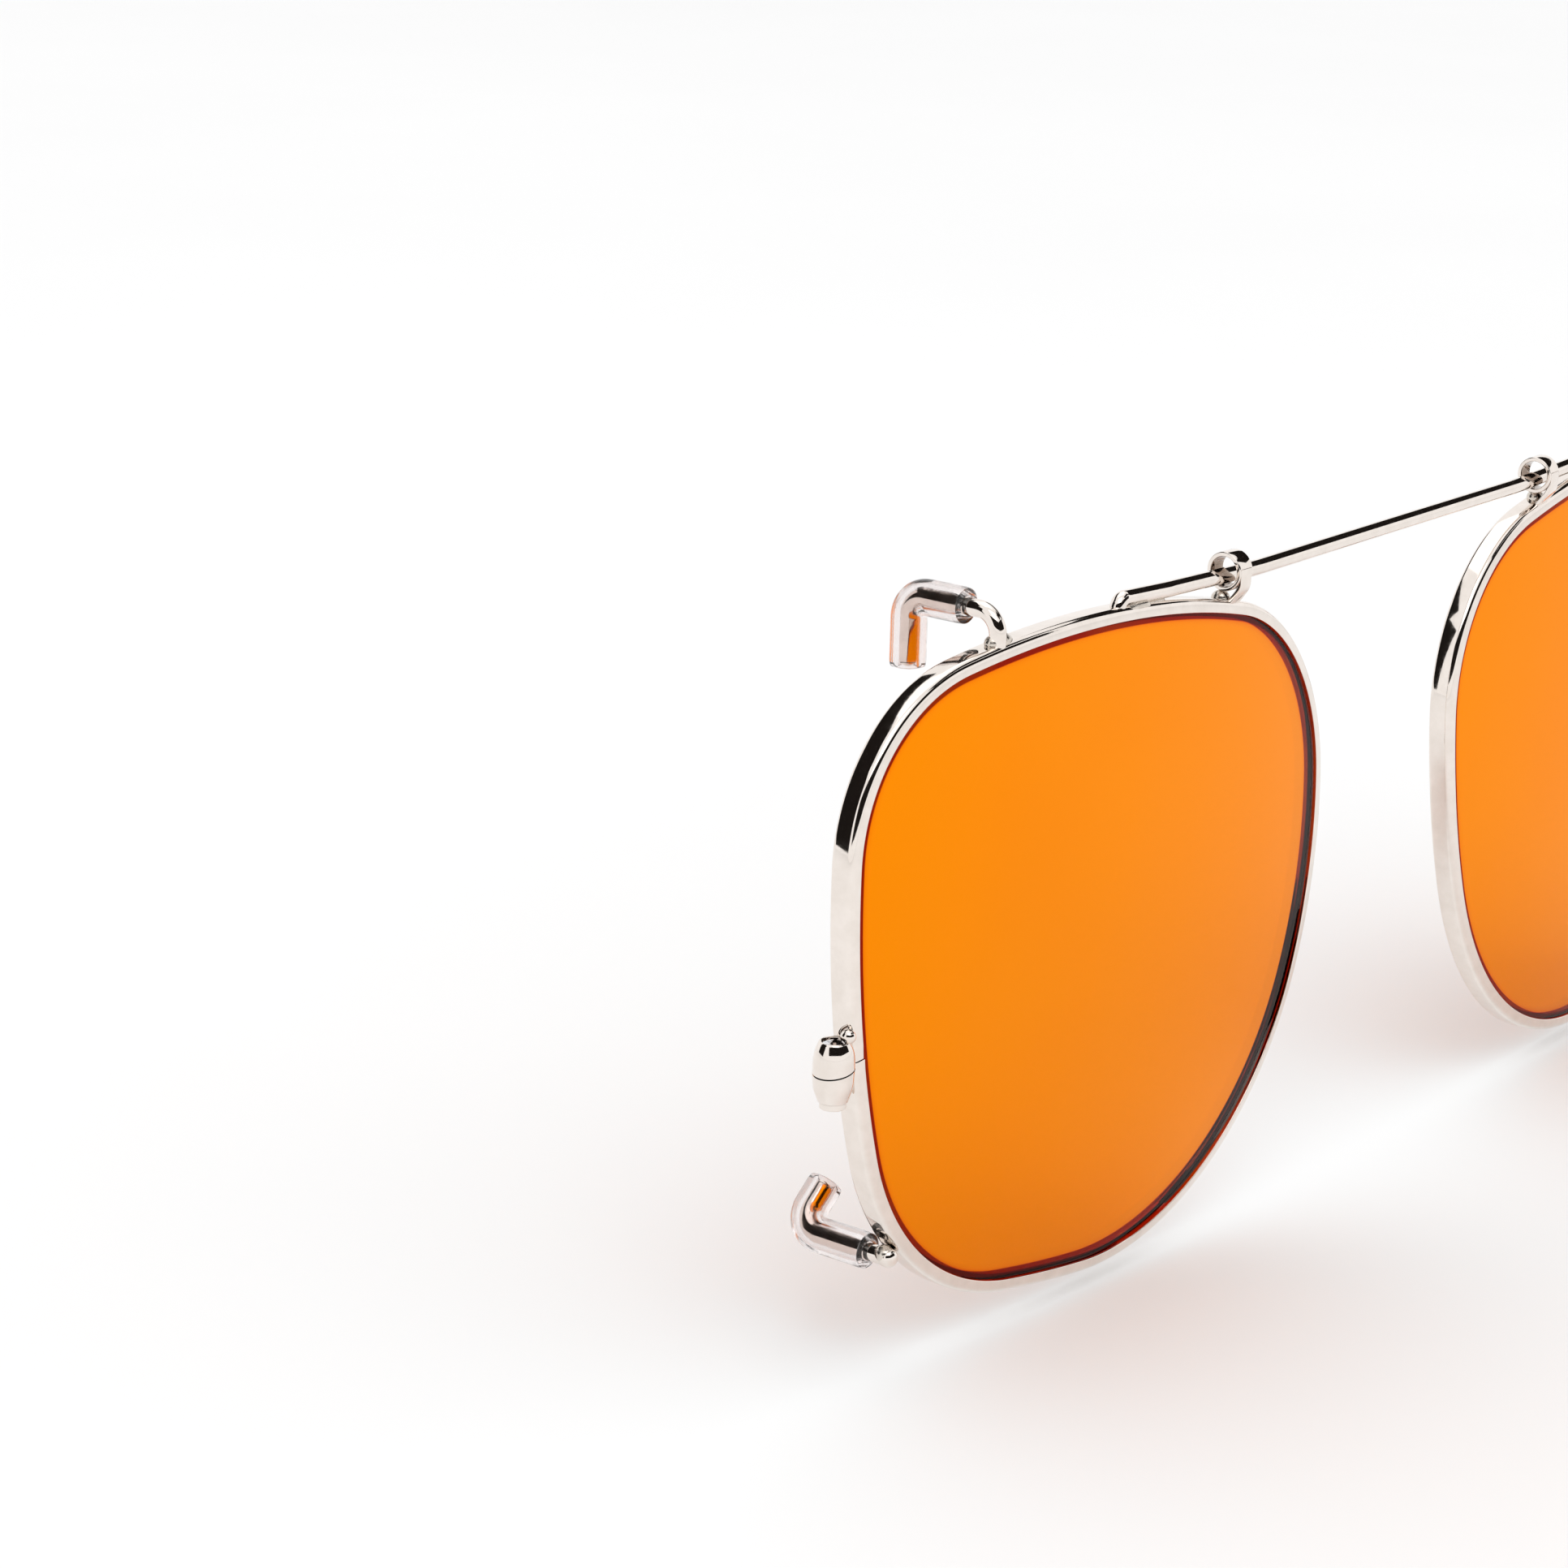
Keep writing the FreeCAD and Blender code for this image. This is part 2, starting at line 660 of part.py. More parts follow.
def make_right_side():
    """Every right-hand piece in the lens frame, by node name."""
    outer = outline_prism("OuterPrism", "rim_width")
    pieces = {"rim": make_rim(outer), "lens": make_lens()}
    upper_half, lower_half, bead = make_lock(outer)
    pieces["rim_lock_upper"] = upper_half
    pieces["rim_lock_lower"] = lower_half
    pieces["rim_lock_bead"] = bead
    pieces["rim_lock_screw"] = make_screw()
    foot = make_foot(outer)
    pieces["bar_foot"] = foot
    pieces["bar_foot_pad"] = make_pad(outer, foot)
    eyelet = make_eyelet(outer)
    pieces["bar_eyelet"] = eyelet
    pieces["bar_eyelet_bead"] = make_bead(outer, eyelet)
    upper = upper_claw_plane()
    claw = make_claw("UpperClaw", upper, [
        ("upper_root_w", "upper_root_v"),
        ("upper_root_w", "upper_arch_v"),
        ("upper_tip_w", "upper_arch_v"),
        ("upper_tip_w", "upper_tip_v"),
    ], ["upper_bend", "upper_bend"], outer)
    pieces["upper_claw"] = claw
    pieces["upper_claw_sleeve"] = make_sleeve("UpperSleeve", upper, [
        ("upper_sleeve_w", "upper_arch_v"),
        ("upper_tip_w", "upper_arch_v"),
        ("upper_tip_w", "upper_tip_v-sleeve_overrun"),
    ], ["upper_bend"])
    root = FreeCAD.Vector(0, size("upper_root_w"), size("upper_root_v") + size("rim_width") / 2)
    pieces["upper_claw_braze"] = make_braze("UpperBraze", upper, root, outer, claw)
    lower = lower_claw_plane()
    claw = make_claw("LowerClaw", lower, [
        ("lower_root_w", "lower_floor"),
        ("lower_tip_w", "lower_floor"),
        ("lower_tip_w", "lower_tip"),
    ], ["lower_bend"], outer)
    pieces["lower_claw"] = claw
    pieces["lower_claw_sleeve"] = make_sleeve("LowerSleeve", lower, [
        ("lower_sleeve_w", "lower_floor"),
        ("lower_tip_w", "lower_floor"),
        ("lower_tip_w", "lower_tip+sleeve_overrun"),
    ], ["lower_bend"])
    root = FreeCAD.Vector(0, size("lower_root_w") + size("rim_width") / 2, size("lower_floor"))
    pieces["lower_claw_braze"] = make_braze("LowerBraze", lower, root, outer, claw)
    return pieces


def right_placement():
    """From the right lens's frame to the object's frame."""
    turn = FreeCAD.Rotation(FreeCAD.Vector(0, 0, 1), -size("wrap_angle"))
    return FreeCAD.Placement(FreeCAD.Vector(-size("half_spacing"), -size("seat_depth"), 0), turn)


def place_sides(pieces):
    """Right-hand pieces in the object's frame, and their left-hand mirror images."""
    nodes = {}
    for name, piece in pieces.items():
        piece.Placement = right_placement()
        piece.Label = "right_" + name
        nodes[piece.Label] = piece
        twin = doc.addObject("Part::Mirroring", "Left" + piece.Name)
        twin.Source = piece
        twin.Normal = (1, 0, 0)
        twin.Base = (0, 0, 0)
        twin.Label = "left_" + name
        nodes[twin.Label] = twin
    return nodes


def check(nodes):
    for obj in doc.Objects:
        if "Invalid" in obj.State or "Error" in obj.State:
            raise RuntimeError(f"{obj.Name} failed: {obj.State}")
    for name, node in nodes.items():
        shape = node.Shape
        if shape.isNull() or not shape.isValid() or len(shape.Solids) != 1:
            raise RuntimeError(f"{name} is not one valid solid: {len(shape.Solids)}")


def main():
    fill_sheet()
    nodes = {"bridge_bar": make_bar()}
    nodes["bridge_bar"].Label = "bridge_bar"
    nodes.update(place_sides(make_right_side()))
    doc.recompute()
    check(nodes)
    os.makedirs("parts", exist_ok=True)
    for name, node in nodes.items():
        node.Shape.exportStep(f"parts/{name}.step")
        box = node.Shape.BoundBox
        print(f"{name}: {node.Shape.Volume:.2f} mm3, X {box.XMin:.2f} to {box.XMax:.2f},"
              f" Y {box.YMin:.2f} to {box.YMax:.2f}, Z {box.ZMin:.2f} to {box.ZMax:.2f}")


main()
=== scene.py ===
import math

import bpy
from mathutils import Matrix, Vector


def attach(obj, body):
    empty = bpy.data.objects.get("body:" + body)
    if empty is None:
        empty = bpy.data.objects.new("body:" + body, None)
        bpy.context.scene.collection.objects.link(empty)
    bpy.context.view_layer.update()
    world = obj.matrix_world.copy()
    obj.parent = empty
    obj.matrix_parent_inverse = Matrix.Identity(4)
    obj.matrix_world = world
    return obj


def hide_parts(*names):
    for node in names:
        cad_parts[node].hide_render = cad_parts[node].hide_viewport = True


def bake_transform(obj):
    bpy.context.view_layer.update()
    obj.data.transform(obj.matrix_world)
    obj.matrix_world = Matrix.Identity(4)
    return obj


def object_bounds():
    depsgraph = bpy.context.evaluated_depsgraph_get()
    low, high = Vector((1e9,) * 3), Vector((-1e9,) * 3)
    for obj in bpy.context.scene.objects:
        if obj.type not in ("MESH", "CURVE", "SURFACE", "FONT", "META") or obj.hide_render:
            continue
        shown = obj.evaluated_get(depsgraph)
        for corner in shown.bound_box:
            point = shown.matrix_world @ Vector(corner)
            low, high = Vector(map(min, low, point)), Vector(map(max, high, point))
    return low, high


# Clip-on tinted lenses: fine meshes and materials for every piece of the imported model.
# The object's lengths are in mm until mesh() writes them in metres; floor, lights and camera are in
# metres.  The pieces of a half are drawn in the right lens's frame (u towards the nose, w back, v up)
# and mirrored for the left side.

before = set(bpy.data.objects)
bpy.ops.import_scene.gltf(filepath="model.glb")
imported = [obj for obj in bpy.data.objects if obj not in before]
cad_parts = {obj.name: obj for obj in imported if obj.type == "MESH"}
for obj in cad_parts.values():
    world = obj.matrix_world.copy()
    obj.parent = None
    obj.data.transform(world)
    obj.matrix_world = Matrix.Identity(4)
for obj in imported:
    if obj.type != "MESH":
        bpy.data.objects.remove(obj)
cad_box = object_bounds()

MM = 0.001

# Driving dimensions, as in the CAD model.  A corner is (u, v, radius).
HALF_SPACING = 35.5
WRAP = math.radians(2.53)
SEAT_DEPTH = 4.5
BASE_RADIUS = 148.7
CORNERS = [(11.75, 6.5, 13.75), (-13.25, 9.25, 12.0), (-6.75, -4.0, 17.25), (1.25, 1.0, 23.25)]
SIDE_RADII = [75.0, 51.0, 148.0, 39.0]
RIM_WIDTH = 0.9
RIM_DEPTH = 1.7
RIM_ROUND = 0.35
LENS_RECESS = 0.25
LENS_THICKNESS = 1.2
GROOVE_DEPTH = 0.35
GROOVE_START = 0.5
GROOVE_WIDTH = 0.7
FIT = 0.02
LOCK_U, LOCK_W, LOCK_TOP = -26.9, 2.95, -0.3
LOCK_LENGTH = 3.95
LOCK_RADIUS = 1.35
LOCK_BORE = 0.53
LOCK_RECESS = 0.81
SCREW_END = -4.4
SEAM_V = -2.2
SEAM_RISE = math.tan(math.radians(12.0))
SEAM_GAP = 0.1
BAR_RADIUS = 0.55
BAR_Y = -2.35
PIVOT_X = 29.35
BAR_HEIGHT = 22.68
BAR_END_HEIGHT = 23.1
BAR_KNEE_X = 18.5
BAR_SPLIT_X = 26.0
FOOT_W = 2.42
EYELET = (13.7, 2.66, 23.12)
EYELET_BORE = 1.05
EYELET_STRAP = 0.3
EYELET_WIDTH = 1.5
POST_WIDTH = 1.2
WIRE_RADIUS = 0.58
SLEEVE_RADIUS = 1.2
SLEEVE_OVERHANG = 0.5
UPPER_U = -11.9
UPPER_W = 2.6
UPPER_ARCH = 24.5
UPPER_REACH = 9.9
UPPER_TIP = 20.3
UPPER_BEND = 1.5
UPPER_SLEEVE_START = 5.3
LOWER_ROOT = (-19.8, -15.45)
LOWER_TILT = math.radians(48.7)
LOWER_FLOOR = -1.5
LOWER_REACH = 10.3
LOWER_TIP = 1.6
LOWER_BEND = 1.9
LOWER_SLEEVE_START = 4.5

TO_OBJECT = Matrix.Translation((-HALF_SPACING, -SEAT_DEPTH, 0)) @ Matrix.Rotation(-WRAP, 4, "Z")
MIRROR = Matrix.Scale(-1, 4, (1, 0, 0))
SIDES = {"right": TO_OBJECT, "left": MIRROR @ TO_OBJECT}


# ---------------------------------------------------------------- materials

class Nodes:
    """A node material being put together."""

    def __init__(self, name):
        self.material = bpy.data.materials.new(name)
        self.material.use_nodes = True
        self.tree = self.material.node_tree
        self.shader = self.tree.nodes["Principled BSDF"]

    def add(self, kind, inputs=None, **properties):
        """New node; an input is a value or another node's output."""
        node = self.tree.nodes.new("ShaderNode" + kind)
        for key, value in properties.items():
            setattr(node, key, value)
        inputs = inputs or {}
        for key, value in inputs.items():
            if isinstance(value, bpy.types.NodeSocket):
                self.link(value, node.inputs[key])
            else:
                node.inputs[key].default_value = value
        return node

    def link(self, start, end):
        self.tree.links.new(start, end)

    def position(self):
        return self.add("TexCoord").outputs["Object"]

    def noise(self, scale, detail=4.0, roughness=0.6):
        inputs = {"Vector": self.position(), "Scale": scale, "Detail": detail, "Roughness": roughness}
        return self.add("TexNoise", inputs).outputs["Fac"]

    def spread(self, value, low, high, start=0.3, end=0.7):
        """The value's range from start to end, mapped to low..high."""
        inputs = {"Value": value, "From Min": start, "From Max": end, "To Min": low, "To Max": high}
        return self.add("MapRange", inputs).outputs["Result"]

    def blend_colours(self, share, first, second):
        """First colour where the share is 0, second where it is 1; either may come from a node."""
        return self.add("Mix", {0: share, 6: first, 7: second}, data_type="RGBA").outputs[2]

    def colour(self, value):
        self.link(value, self.shader.inputs["Base Color"])

    def roughness(self, scale, detail, low, high):
        self.link(self.spread(self.noise(scale, detail), low, high), self.shader.inputs["Roughness"])

    def bump(self, height, strength, distance):
        inputs = {"Height": height, "Strength": strength, "Distance": distance}
        self.link(self.add("Bump", inputs).outputs["Normal"], self.shader.inputs["Normal"])

    def set(self, **values):
        """Fixed values of the shader, by input name with underscores for spaces."""
        for key, value in values.items():
            self.shader.inputs[key.replace("_", " ")].default_value = value


# Brown-black of the painted shade that the plated metal takes on in its hollows.
HOLLOW_SHADE = (0.22, 0.16, 0.125, 1)


def plated_metal(name, bright, dull, roughness, ripple):
    """Polished plate: faint tone changes, hair-fine marks, a slight ripple, and painted shade in hollows.
    """
    m = Nodes(name)
    m.set(Metallic=1.0)
    tone = m.spread(m.noise(900.0), 0.0, 1.0)
    # Painted shade: the colour runs to brown-black where nearby parts close the surface in.
    opening = m.add("AmbientOcclusion", {"Distance": 0.003}, only_local=True, samples=8).outputs["AO"]
    unshaded = m.spread(opening, 0.0, 1.0, 0.45, 0.85)
    m.colour(m.blend_colours(unshaded, HOLLOW_SHADE, m.blend_colours(tone, bright, dull)))
    m.roughness(2600.0, 6.0, *roughness)
    m.bump(m.noise(700.0, 2.0), ripple, 0.00002)
    return m.material


def braze_metal():
    """Braze that has flowed and set: a little duller, with a soft uneven skin."""
    m = Nodes("brazed_fillet")
    m.set(Metallic=1.0)
    tone = m.spread(m.noise(1800.0), 0.0, 1.0)
    m.colour(m.blend_colours(tone, (0.78, 0.72, 0.65, 1), (0.55, 0.49, 0.43, 1)))
    m.roughness(3000.0, 6.0, 0.14, 0.34)
    m.bump(m.noise(1500.0, 3.0), 0.6, 0.00008)
    return m.material


def tinted_lens():
    """Orange lens: even tint, with painted shade that makes it darker and redder towards the bevelled edge,
    and a hard polished coat.
    """
    m = Nodes("orange_tint")
    m.set(Transmission_Weight=1.0, IOR=1.18, Specular_Tint=(1.0, 0.16, 0.0, 1))
    # Painted shade: darker, redder colour near the edge, for light's longer path through the bevel and the
    # rim's shade.
    edge = m.add("Attribute", attribute_name="edge").outputs["Fac"]
    cloud = m.spread(m.noise(60.0, 2.0), -0.02, 0.02)
    share = m.add("Math", {0: edge, 1: cloud}, operation="ADD", use_clamp=True).outputs["Value"]
    ramp = m.add("ValToRGB", {"Fac": share})
    stops = ramp.color_ramp.elements
    stops[0].position, stops[0].color = 0.0, (1.0, 0.27, 0.0, 1)
    stops[1].position, stops[1].color = 1.0, (0.075, 0.0002, 0.0, 1)
    middle = stops.new(0.55)
    middle.color = (0.8, 0.07, 0.0, 1)
    m.colour(ramp.outputs["Color"])
    m.roughness(400.0, 5.0, 0.0, 0.012)
    return m.material


def clear_silicone():
    """Clear soft sleeve with a warm cast and a faintly greasy, uneven skin."""
    m = Nodes("clear_silicone")
    m.set(Transmission_Weight=1.0, IOR=1.41)
    tone = m.spread(m.noise(500.0), 0.0, 1.0)
    m.colour(m.blend_colours(tone, (0.93, 0.875, 0.86, 1), (0.86, 0.80, 0.79, 1)))
    m.roughness(1600.0, 5.0, 0.04, 0.16)
    m.bump(m.noise(900.0, 3.0), 0.35, 0.00005)
    return m.material


def pale_floor():
    """Matt, nearly white floor with the faintest clouding."""
    m = Nodes("pale_floor")
    tone = m.spread(m.noise(6.0), 0.0, 1.0)
    m.colour(m.blend_colours(tone, (0.865, 0.865, 0.865, 1), (0.85, 0.85, 0.85, 1)))
    m.set(Roughness=0.9, Specular_IOR_Level=0.1)
    return m.material


PLATE = plated_metal(
    "polished_plate",
    bright=(0.87, 0.80, 0.745, 1),
    dull=(0.80, 0.73, 0.67, 1),
    roughness=(0.03, 0.09),
    ripple=0.15,
)
STEEL = plated_metal(
    "polished_steel",
    bright=(0.80, 0.80, 0.82, 1),
    dull=(0.68, 0.68, 0.71, 1),
    roughness=(0.05, 0.14),
    ripple=0.25,
)
BRAZE = braze_metal()
TINT = tinted_lens()
SILICONE = clear_silicone()


# ---------------------------------------------------------------- meshes

SHARP_ANGLE = math.radians(35.0)


def mesh(name, points, faces, place, edge=None):
    """Object from points in mm, moved by place; edge is how near each point is to the lens's edge."""
    data = bpy.data.meshes.new(name)
    spots = [(place @ Vector(p)) * MM for p in points]
    mirrored = place.determinant() < 0
    loops = [tuple(reversed(f)) if mirrored else tuple(f) for f in faces]
    data.from_pydata(spots, [], loops)
    if edge:
        layer = data.attributes.new("edge", "FLOAT", "POINT")
        layer.data.foreach_set("value", edge)
    data.validate()
    obj = bpy.data.objects.new(name, data)
    bpy.context.scene.collection.objects.link(obj)
    smooth(obj)
    return obj


def smooth(obj):
    """Smooth shading with the sharp edges kept."""
    obj.data.shade_smooth()
    obj.data.set_sharp_from_angle(angle=SHARP_ANGLE)


def join_parts(*parts):
    """One set of points and faces from several."""
    points = []
    faces = []
    for part_points, part_faces in parts:
        start = len(points)
        points += part_points
        faces += [[i + start for i in face] for face in part_faces]
    return points, faces


def skin(rings, closed_along=False, caps=True):
    """Points and faces of a surface through equal closed rings of points."""
    count = len(rings[0])
    points = [p for ring in rings for p in ring]
    faces = []
    rows = len(rings) if closed_along else len(rings) - 1
    for i in range(rows):
        a, b = i * count, ((i + 1) % len(rings)) * count
        for j in range(count):
            k = (j + 1) % count
            faces.append([a + j, a + k, b + k, b + j])
    if caps and not closed_along:
        faces.append(list(range(count))[::-1])
        last = (len(rings) - 1) * count
        faces.append(list(range(last, last + count)))
    return points, faces


def polish(obj):
    """One level of subdivision, applied."""
    obj.modifiers.new("smooth", "SUBSURF").levels = 1
    apply_modifiers(obj)


def apply_modifiers(obj):
    """The object's mesh as its modifiers leave it."""
    depsgraph = bpy.context.evaluated_depsgraph_get()
    made = bpy.data.meshes.new_from_object(obj.evaluated_get(depsgraph))
    obj.modifiers.clear()
    obj.data = made
    smooth(obj)


def show(node, material, parts, place, edge=None):
    """Object that will stand for the CAD node of that name."""
    obj = mesh(node + "_shown", *parts, place, edge)
    obj.data.materials.append(material)
    return obj


def stand_for(node):
    """The CAD node of that name is hidden; the object made for it takes its place."""
    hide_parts(node)


def add_both(name, material, parts, edge=None):
    """The piece on each side, riding on its half and standing for its CAD node."""
    made = {}
    for side, place in SIDES.items():
        node = f"{side}_{name}"
        made[side] = show(node, material, parts, place, edge)
        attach(made[side], f"{side}_half")
        stand_for(node)
    return made


# ---------------------------------------------------------------- outline of the lens

def heading(a, b):
    """Direction from a to b, in radians."""
    return math.atan2(b[1] - a[1], b[0] - a[0])


def side_centre(first, second, radius):
    """Centre of the arc of that radius which both corner circles touch from inside."""
    reach_a = radius - first[2]
    reach_b = radius - second[2]
    a = Vector(first[:2])
    link = Vector(second[:2]) - a
    along = (reach_a ** 2 - reach_b ** 2 + link.length ** 2) / (2 * link.length)
    across = math.sqrt(reach_a ** 2 - along ** 2)
    unit = link.normalized()
    return a + unit * along + Vector((-unit.y, unit.x)) * across


def outline():
    """Points of the lens outline with outward normals, counter-clockwise, about evenly spaced."""
    steps_per_mm = 2.4
    arcs = []
    centres = [side_centre(CORNERS[i], CORNERS[(i + 1) % 4], SIDE_RADII[i]) for i in range(4)]
    for i in range(4):
        corner = CORNERS[i]
        following = CORNERS[(i + 1) % 4]
        enter = heading(centres[i - 1], corner)
        leave = heading(centres[i], corner)
        arcs.append((corner[:2], corner[2], enter, leave))
        arcs.append((centres[i], SIDE_RADII[i], leave, heading(centres[i], following)))
    found = []
    for centre, radius, start, end in arcs:
        while end < start:
            end += 2 * math.pi
        count = max(4, round(radius * (end - start) * steps_per_mm))
        for k in range(count):
            angle = start + (end - start) * k / count
            normal = Vector((math.cos(angle), math.sin(angle)))
            found.append((Vector(centre) + normal * radius, normal))
    return found


OUTLINE = outline()


def shell_w(u, v, depth):
    """How far back the curve lies that is depth behind the front curve."""
    radius = BASE_RADIUS - depth
    return BASE_RADIUS - math.sqrt(radius ** 2 - u * u - v * v)


def shell_point(spot, depth):
    """Point of the curve depth behind the front curve, at spot (u, v)."""
    return (spot[0], shell_w(spot[0], spot[1], depth), spot[1])


def seam_height(u):
    """Height of the sloping seam through rim and lock."""
    return SEAM_V + SEAM_RISE * (u - LOCK_U)


# ---------------------------------------------------------------- rim and lens

def rounded(corners, steps):
    """Closed section from (x, y, radius) corners, each rounded by an arc."""
    made = []
    count = len(corners)
    for i in range(count):
        x, y, radius = corners[i]
        spot = Vector((x, y))
        before = (Vector(corners[i - 1][:2]) - spot).normalized()
        after = (Vector(corners[(i + 1) % count][:2]) - spot).normalized()
        half = before.angle(after) / 2
        trim = radius / math.tan(half)
        centre = spot + (before + after).normalized() * (radius / math.sin(half))
        first = spot + before * trim - centre
        last = spot + after * trim - centre
        for k in range(steps + 1):
            share = k / steps
            made.append(centre + first.slerp(last, share) * radius)
    return made


def rim_section():
    """Section of the rim wire: (outwards, depth, radius), with the groove that holds the lens."""
    groove_end = GROOVE_START + GROOVE_WIDTH
    inner_round = 0.07
    groove_round = 0.04
    return rounded([
        (0.0, 0.0, inner_round),
        (RIM_WIDTH, 0.0, RIM_ROUND),
        (RIM_WIDTH, RIM_DEPTH, RIM_ROUND),
        (0.0, RIM_DEPTH, inner_round),
        (0.0, groove_end, groove_round),
        (GROOVE_DEPTH, groove_end, groove_round),
        (GROOVE_DEPTH, GROOVE_START, groove_round),
        (0.0, GROOVE_START, groove_round),
    ], 6)


def make_rim():
    """The rim's section carried round the outline, from one side of the seam to the other."""
    section = rim_section()
    at_seam = min(range(len(OUTLINE)), key=lambda i: seam_distance(OUTLINE[i][0]))
    order = [(at_seam + 1 + k) % len(OUTLINE) for k in range(len(OUTLINE) - 1)]
    rings = []
    for index in order:
        spot, normal = OUTLINE[index]
        rings.append([list(shell_point(spot + normal * outwards, depth)) for outwards, depth in section])
    for ring, lift in ((rings[0], -SEAM_GAP / 2), (rings[-1], SEAM_GAP / 2)):
        for point in ring:
            point[2] = seam_height(point[0]) + lift
    add_both("rim", PLATE, skin(rings))


def seam_distance(spot):
    """Height above or below the seam; the nose side, where there is no seam, counts as far away."""
    nose_side = 100.0 if spot[0] > 0 else 0.0
    return abs(spot[1] - seam_height(spot[0])) + nose_side


def make_lens():
    """Front and back curves out to the bevel, and the tongue that sits in the groove."""
    back = LENS_RECESS + LENS_THICKNESS
    tongue_front = GROOVE_START + FIT
    tongue_back = GROOVE_START + GROOVE_WIDTH - FIT
    tongue = GROOVE_DEPTH - FIT
    bevel_in, bevel_back = 0.04, 0.05
    face_rings = 24
    shares = [k / face_rings for k in range(1, face_rings - 1)]
    # Rings just inside the edge, each with its share of the painted edge shade.
    edge_shading = [(-0.9, 0.0), (-0.62, 0.12), (-0.5, 0.3), (-0.42, 1.0), (-0.2, 1.0)]
    side = [
        (-FIT - bevel_in, LENS_RECESS),
        (-FIT, LENS_RECESS + bevel_back),
        (-FIT, tongue_front),
        (tongue, tongue_front),
        (tongue, tongue_back),
        (-FIT, tongue_back),
        (-FIT, back - bevel_back),
        (-FIT - bevel_in, back),
    ]
    rings = []
    edge = []

    def add_ring(share, grow, depth, edge_shade):
        rings.append([shell_point(spot * share + normal * grow, depth) for spot, normal in OUTLINE])
        edge.extend([edge_shade] * len(OUTLINE))

    for share in shares:
        add_ring(share, 0.0, LENS_RECESS, 0.0)
    for grow, edge_shade in edge_shading:
        add_ring(1.0, grow, LENS_RECESS, edge_shade)
    for grow, depth in side:
        add_ring(1.0, grow, depth, 1.0)
    for grow, edge_shade in reversed(edge_shading):
        add_ring(1.0, grow, back, edge_shade)
    for share in reversed(shares):
        add_ring(share, 0.0, back, 0.0)
    points, faces = skin(rings, caps=False)
    faces = [face[::-1] for face in faces]
    count = len(OUTLINE)
    for start, depth in ((0, LENS_RECESS), (len(rings) - 1, back)):
        hub = len(points)
        points.append((0.0, depth, 0.0))
        edge.append(0.0)
        for j in range(count):
            pair = [start * count + j, start * count + (j + 1) % count]
            faces.append([hub] + (pair if start == 0 else pair[::-1]))
    add_both("lens", TINT, (points, faces), edge)


# ---------------------------------------------------------------- round wires

def route(stops, bends, step=0.12):
    """Points along straight runs joined by tangent arcs."""
    stops = [Vector(s) for s in stops]
    found = [stops[0]]
    for i, radius in enumerate(bends, start=1):
        before = (stops[i - 1] - stops[i]).normalized()
        after = (stops[i + 1] - stops[i]).normalized()
        half = before.angle(after) / 2
        trim = radius / math.tan(half)
        centre = stops[i] + (before + after).normalized() * (radius / math.sin(half))
        first = stops[i] + before * trim - centre
        last = stops[i] + after * trim - centre
        turn = math.pi - 2 * half
        count = max(3, math.ceil(radius * turn / step))
        found += [centre + first.slerp(last, k / count) * radius for k in range(count + 1)]
    found.append(stops[-1])
    return subdivide(found, step * 3)


def subdivide(points, longest):
    """The same line with more points, none further apart than longest."""
    made = [points[0]]
    for a, b in zip(points, points[1:]):
        count = max(1, math.ceil((b - a).length / longest))
        made += [a.lerp(b, k / count) for k in range(1, count + 1)]
    return made


def frames(points):
    """Tangent and two cross directions at each point, without twist."""
    made = []
    count = len(points)
    side = None
    for i in range(count):
        ahead = points[min(i + 1, count - 1)] - points[max(i - 1, 0)]
        tangent = ahead.normalized()
        if side is None:
            side = tangent.orthogonal().normalized()
        side = (side - tangent * side.dot(tangent)).normalized()
        made.append((tangent, side, tangent.cross(side)))
    return made


def circle_ring(centre, side, up, radius, segments=28):
    """Points of a circle in the plane of side and up."""
    ring = []
    for k in range(segments):
        angle = 2 * math.pi * k / segments
        ring.append(centre + side * (radius * math.cos(angle)) + up * (radius * math.sin(angle)))
    return ring


def wire(points, radius_at, domed=(True, True)):
    """Round wire along points; radius_at(length) gives its radius; each end may be domed."""
    directions = frames(points)
    lengths = [0.0]
    for a, b in zip(points, points[1:]):
        lengths.append(lengths[-1] + (b - a).length)
    rings = []
    for point, (_, side, up), length in zip(points, directions, lengths):
        rings.append(circle_ring(point, side, up, radius_at(length)))
    if domed[0]:
        rings = dome(points[0], directions[0], radius_at(0.0), -1)[::-1] + rings
    if domed[1]:
        rings = rings + dome(points[-1], directions[-1], radius_at(lengths[-1]), 1)
    return skin(rings)


def dome(point, direction, radius, sign):
    """Shrinking rings of a slightly flattened dome, ahead of the point or behind it."""
    tangent, side, up = direction
    height = radius * 0.8
    rings = []
    for k in range(1, 7):
        angle = math.radians(14.5 * k)
        centre = point + tangent * (sign * height * math.sin(angle))
        rings.append(circle_ring(centre, side, up, radius * math.cos(angle)))
    return rings


def tube(points, outer, inner):
    """Tube with a rounded lip at each end: out along its outside and back through its bore."""
    lip = 0.12
    setback = lip * 0.3
    shoulder = outer - lip * 0.35
    directions = frames(points)
    last = len(points) - 1
    middle = range(1, last)
    stations = [(0, 0.0, outer - lip), (0, setback, shoulder)]
    stations += [(k, 0.0, outer) for k in middle]
    stations += [(last, -setback, shoulder), (last, 0.0, outer - lip)]
    stations += [(last, 0.0, inner + setback)]
    stations += [(k, 0.0, inner) for k in reversed(middle)]
    stations += [(0, 0.0, inner + setback)]
    rings = []
    for index, shift, radius in stations:
        tangent, side, up = directions[index]
        rings.append(circle_ring(points[index] + tangent * shift, side, up, radius, 36))
    return skin(rings, closed_along=True)


